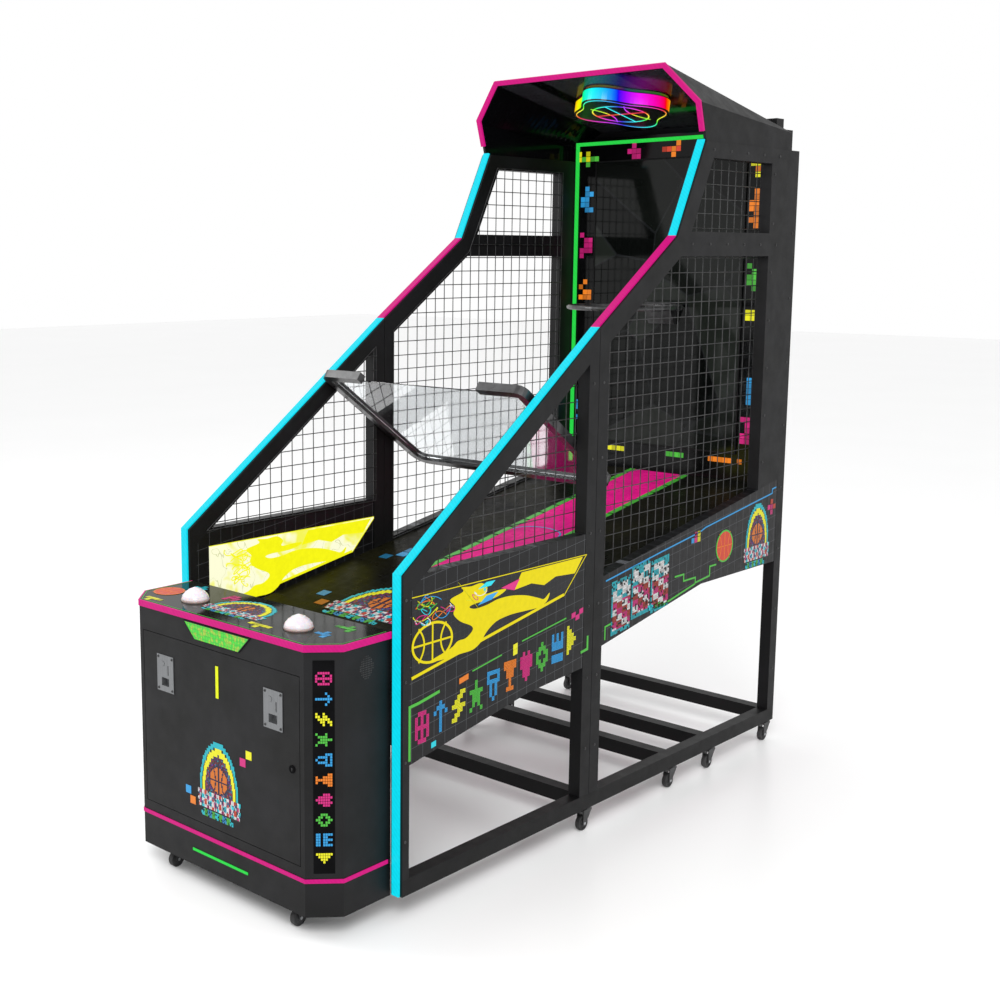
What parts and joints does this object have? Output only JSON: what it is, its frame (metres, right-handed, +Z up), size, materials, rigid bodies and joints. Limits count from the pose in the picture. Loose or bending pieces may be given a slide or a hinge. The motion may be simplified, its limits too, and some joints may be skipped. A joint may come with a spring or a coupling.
{
  "type": "basketball hoop arcade machine",
  "caption": "Street basketball arcade machine: caged ball ramp, hoop on a back wall, lit header hood, coin cabinet with dome buttons, on swivel casters.",
  "frame": {"origin": "on the floor, under the middle of the machine's bounding box", "axes": "+X is the player's right, +Y runs from the cabinet to the back wall, +Z is up"},
  "size_m": [1, 2.48, 2.59],
  "materials": {
    "steel_coat": "fine texture powder coat, satin",
    "black_gloss": "high gloss",
    "cyan_light": "lit diffuser",
    "magenta_light": "lit diffuser",
    "green_light": "lit diffuser",
    "art_panel": "printed film, satin",
    "mesh_wire": "black powder coat",
    "zinc_steel": "dark zinc",
    "brushed_steel": "brushed",
    "wheel_rubber": "matt",
    "white_plastic": "satin, lit from inside",
    "tray_board": "printed board, satin",
    "black_plastic": "moulded",
    "hoop_steel": "satin black",
    "clear_acrylic": "clear, polished"
  },
  "bodies": {
    "machine": {"front_frame_left": "steel_coat", "rear_frame_left": "steel_coat", "front_panel_left": "art_panel", "rear_panel_left": "art_panel", "front_mesh_left": "mesh_wire", "rear_mesh_left": "mesh_wire", "edge_light_left": "cyan_light", "front_frame_right": "steel_coat", "rear_frame_right": "steel_coat", "front_panel_right": "art_panel", "rear_panel_right": "art_panel", "front_mesh_right": "mesh_wire", "rear_mesh_right": "mesh_wire", "edge_light_right": "cyan_light", "base_frame": "steel_coat", "cabinet_body": "steel_coat", "control_top": "black_gloss", "top_light_strip": "magenta_light", "ball_tray": "tray_board", "back_wall": "black_gloss", "back_light_strip": "green_light", "mains_inlet": "black_plastic", "hoop_rim": "hoop_steel", "hoop_bracket": "hoop_steel", "guard_bar": "hoop_steel", "guard_shield": "clear_acrylic", "header_hood": "steel_coat", "header_rim_light": "magenta_light", "ring_sign": "black_gloss"},
    "door": {"service_door": "steel_coat", "coin_plate_left": "brushed_steel", "coin_plate_right": "brushed_steel"},
    "lock": {"door_lock": "brushed_steel"},
    "coin_button_left": {"coin_button_left": "brushed_steel"},
    "coin_button_right": {"coin_button_right": "brushed_steel"},
    "dome_button_left": {"dome_button_left": "white_plastic"},
    "dome_button_right": {"dome_button_right": "white_plastic"},
    "swivel_base1_left": {"caster_fork_base1_left": "zinc_steel"},
    "wheel_base1_left": {"caster_wheel_base1_left": "wheel_rubber"},
    "swivel_base2_left": {"caster_fork_base2_left": "zinc_steel"},
    "wheel_base2_left": {"caster_wheel_base2_left": "wheel_rubber"},
    "swivel_base3_left": {"caster_fork_base3_left": "zinc_steel"},
    "wheel_base3_left": {"caster_wheel_base3_left": "wheel_rubber"},
    "swivel_base4_left": {"caster_fork_base4_left": "zinc_steel"},
    "wheel_base4_left": {"caster_wheel_base4_left": "wheel_rubber"},
    "swivel_base1_right": {"caster_fork_base1_right": "zinc_steel"},
    "wheel_base1_right": {"caster_wheel_base1_right": "wheel_rubber"},
    "swivel_base2_right": {"caster_fork_base2_right": "zinc_steel"},
    "wheel_base2_right": {"caster_wheel_base2_right": "wheel_rubber"},
    "swivel_base3_right": {"caster_fork_base3_right": "zinc_steel"},
    "wheel_base3_right": {"caster_wheel_base3_right": "wheel_rubber"},
    "swivel_base4_right": {"caster_fork_base4_right": "zinc_steel"},
    "wheel_base4_right": {"caster_wheel_base4_right": "wheel_rubber"},
    "swivel_cabinet_left": {"caster_fork_cabinet_left": "zinc_steel"},
    "wheel_cabinet_left": {"caster_wheel_cabinet_left": "wheel_rubber"},
    "swivel_cabinet_right": {"caster_fork_cabinet_right": "zinc_steel"},
    "wheel_cabinet_right": {"caster_wheel_cabinet_right": "wheel_rubber"}
  },
  "joints": [
    {"name": "door_hinge", "type": "hinge", "parent": "machine", "child": "door", "pos_m": [-0.356, -1.237, 0.5], "axis": [0, 0, -1], "range_deg": [0, 100]},
    {"name": "lock_turn", "type": "hinge", "parent": "door", "child": "lock", "pos_m": [0.325, -1.23, 0.502], "axis": [0, 1, 0], "range_deg": [0, 90]},
    {"name": "coin_button_press_left", "type": "slide", "parent": "door", "child": "coin_button_left", "axis": [0, 1, 0], "range_m": [0, 0.003], "stiffness_N_per_m": 400, "springref_m": -0.005},
    {"name": "coin_button_press_right", "type": "slide", "parent": "door", "child": "coin_button_right", "axis": [0, 1, 0], "range_m": [0, 0.003], "stiffness_N_per_m": 400, "springref_m": -0.005},
    {"name": "dome_press_left", "type": "slide", "parent": "machine", "child": "dome_button_left", "axis": [0, 0, -1], "range_m": [0, 0.005], "stiffness_N_per_m": 600, "springref_m": -0.01},
    {"name": "dome_press_right", "type": "slide", "parent": "machine", "child": "dome_button_right", "axis": [0, 0, -1], "range_m": [0, 0.005], "stiffness_N_per_m": 600, "springref_m": -0.01},
    {"name": "caster_swivel_base1_left", "type": "hinge", "parent": "machine", "child": "swivel_base1_left", "pos_m": [-0.4775, -0.02, 0.08], "axis": [0, 0, 1], "continuous": true},
    {"name": "caster_roll_base1_left", "type": "hinge", "parent": "swivel_base1_left", "child": "wheel_base1_left", "pos_m": [-0.4775, -0.044, 0.026], "axis": [1, 0, 0], "continuous": true},
    {"name": "caster_swivel_base2_left", "type": "hinge", "parent": "machine", "child": "swivel_base2_left", "pos_m": [-0.4775, 0.52, 0.08], "axis": [0, 0, 1], "continuous": true},
    {"name": "caster_roll_base2_left", "type": "hinge", "parent": "swivel_base2_left", "child": "wheel_base2_left", "pos_m": [-0.4775, 0.496, 0.026], "axis": [1, 0, 0], "continuous": true},
    {"name": "caster_swivel_base3_left", "type": "hinge", "parent": "machine", "child": "swivel_base3_left", "pos_m": [-0.4775, 0.794, 0.08], "axis": [0, 0, 1], "continuous": true},
    {"name": "caster_roll_base3_left", "type": "hinge", "parent": "swivel_base3_left", "child": "wheel_base3_left", "pos_m": [-0.4775, 0.77, 0.026], "axis": [1, 0, 0], "continuous": true},
    {"name": "caster_swivel_base4_left", "type": "hinge", "parent": "machine", "child": "swivel_base4_left", "pos_m": [-0.4775, 1.222, 0.08], "axis": [0, 0, 1], "continuous": true},
    {"name": "caster_roll_base4_left", "type": "hinge", "parent": "swivel_base4_left", "child": "wheel_base4_left", "pos_m": [-0.4775, 1.198, 0.026], "axis": [1, 0, 0], "continuous": true},
    {"name": "caster_swivel_base1_right", "type": "hinge", "parent": "machine", "child": "swivel_base1_right", "pos_m": [0.4775, -0.02, 0.08], "axis": [0, 0, 1], "continuous": true},
    {"name": "caster_roll_base1_right", "type": "hinge", "parent": "swivel_base1_right", "child": "wheel_base1_right", "pos_m": [0.4775, -0.044, 0.026], "axis": [1, 0, 0], "continuous": true},
    {"name": "caster_swivel_base2_right", "type": "hinge", "parent": "machine", "child": "swivel_base2_right", "pos_m": [0.4775, 0.52, 0.08], "axis": [0, 0, 1], "continuous": true},
    {"name": "caster_roll_base2_right", "type": "hinge", "parent": "swivel_base2_right", "child": "wheel_base2_right", "pos_m": [0.4775, 0.496, 0.026], "axis": [1, 0, 0], "continuous": true},
    {"name": "caster_swivel_base3_right", "type": "hinge", "parent": "machine", "child": "swivel_base3_right", "pos_m": [0.4775, 0.794, 0.08], "axis": [0, 0, 1], "continuous": true},
    {"name": "caster_roll_base3_right", "type": "hinge", "parent": "swivel_base3_right", "child": "wheel_base3_right", "pos_m": [0.4775, 0.77, 0.026], "axis": [1, 0, 0], "continuous": true},
    {"name": "caster_swivel_base4_right", "type": "hinge", "parent": "machine", "child": "swivel_base4_right", "pos_m": [0.4775, 1.222, 0.08], "axis": [0, 0, 1], "continuous": true},
    {"name": "caster_roll_base4_right", "type": "hinge", "parent": "swivel_base4_right", "child": "wheel_base4_right", "pos_m": [0.4775, 1.198, 0.026], "axis": [1, 0, 0], "continuous": true},
    {"name": "caster_swivel_cabinet_left", "type": "hinge", "parent": "machine", "child": "swivel_cabinet_left", "pos_m": [-0.285, -1.158, 0.08], "axis": [0, 0, 1], "continuous": true},
    {"name": "caster_roll_cabinet_left", "type": "hinge", "parent": "swivel_cabinet_left", "child": "wheel_cabinet_left", "pos_m": [-0.285, -1.182, 0.026], "axis": [1, 0, 0], "continuous": true},
    {"name": "caster_swivel_cabinet_right", "type": "hinge", "parent": "machine", "child": "swivel_cabinet_right", "pos_m": [0.285, -1.158, 0.08], "axis": [0, 0, 1], "continuous": true},
    {"name": "caster_roll_cabinet_right", "type": "hinge", "parent": "swivel_cabinet_right", "child": "wheel_cabinet_right", "pos_m": [0.285, -1.182, 0.026], "axis": [1, 0, 0], "continuous": true}
  ]
}
